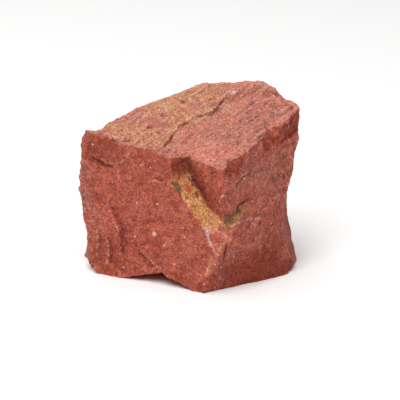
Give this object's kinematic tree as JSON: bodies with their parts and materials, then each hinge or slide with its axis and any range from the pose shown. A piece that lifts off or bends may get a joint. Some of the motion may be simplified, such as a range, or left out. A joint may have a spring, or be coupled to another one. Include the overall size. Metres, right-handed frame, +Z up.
{
  "type": "rough red jasper rock",
  "caption": "Broken lump of red jasper with flat fracture faces, a notch above an ochre seam and a weathered, tilted top.",
  "frame": {"origin": "on the ground, at the middle of the bounding box's underside", "axes": "+X to the right along the stone's longest side, +Y to the back, +Z up from the face it rests on"},
  "size_m": [0.0749, 0.0532, 0.0597],
  "materials": {
    "red_jasper": "rough, dull break with a faint waxy sheen"
  },
  "bodies": {
    "root": {"red_jasper_rock": "red_jasper"}
  },
  "joints": []
}
